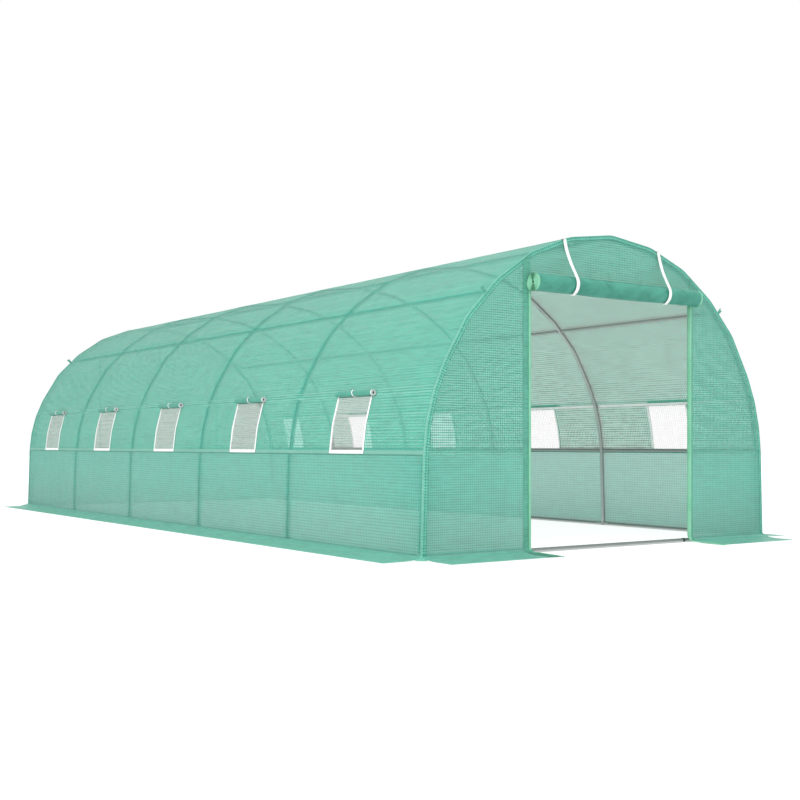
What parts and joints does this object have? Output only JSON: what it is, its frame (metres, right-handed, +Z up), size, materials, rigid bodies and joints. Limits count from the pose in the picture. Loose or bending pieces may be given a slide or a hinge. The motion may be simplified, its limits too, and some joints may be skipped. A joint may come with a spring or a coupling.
{
  "type": "polytunnel greenhouse",
  "caption": "Polytunnel greenhouse with an arched tube frame, green woven film cover, netted side windows, ground skirts and a rolled-up front door.",
  "frame": {"origin": "on the ground in the middle of the tunnel, at the bottom centre of the bounding box", "axes": "+Y along the tunnel from the open front door to the closed back end, +X across it, +Z up"},
  "size_m": [3.54, 7.83, 2.008],
  "materials": {
    "galvanised_tube": "galvanised",
    "cover_film": "translucent woven film",
    "rolled_film": "woven film in many layers",
    "insect_net": "fine net",
    "white_webbing": "woven tape",
    "zip_binding": "woven tape"
  },
  "bodies": {
    "root": {"hoop_1": "galvanised_tube", "hoop_2": "galvanised_tube", "hoop_3": "galvanised_tube", "hoop_4": "galvanised_tube", "hoop_5": "galvanised_tube", "hoop_6": "galvanised_tube", "ridge_pole": "galvanised_tube", "left_upper_purlin": "galvanised_tube", "right_upper_purlin": "galvanised_tube", "left_side_rail": "galvanised_tube", "right_side_rail": "galvanised_tube", "left_base_rail": "galvanised_tube", "right_base_rail": "galvanised_tube", "front_base_rail": "galvanised_tube", "back_base_rail": "galvanised_tube", "left_roof_cover": "cover_film", "right_roof_cover": "cover_film", "left_side_cover": "cover_film", "right_side_cover": "cover_film", "front_left_panel": "cover_film", "front_right_panel": "cover_film", "front_top_panel": "cover_film", "back_left_panel": "cover_film", "back_right_panel": "cover_film", "back_top_panel": "cover_film", "back_door_panel": "cover_film", "left_skirt": "cover_film", "right_skirt": "cover_film", "front_left_skirt": "cover_film", "front_right_skirt": "cover_film", "back_left_skirt": "cover_film", "back_right_skirt": "cover_film", "left_window_rolls": "rolled_film", "right_window_rolls": "rolled_film", "front_door_roll": "rolled_film", "tie_tabs": "rolled_film", "left_window_nets": "insect_net", "right_window_nets": "insect_net", "left_window_frames": "white_webbing", "right_window_frames": "white_webbing", "left_window_ties": "white_webbing", "right_window_ties": "white_webbing", "front_door_straps": "white_webbing", "front_door_bindings": "zip_binding", "back_door_zips": "zip_binding"}
  },
  "joints": []
}
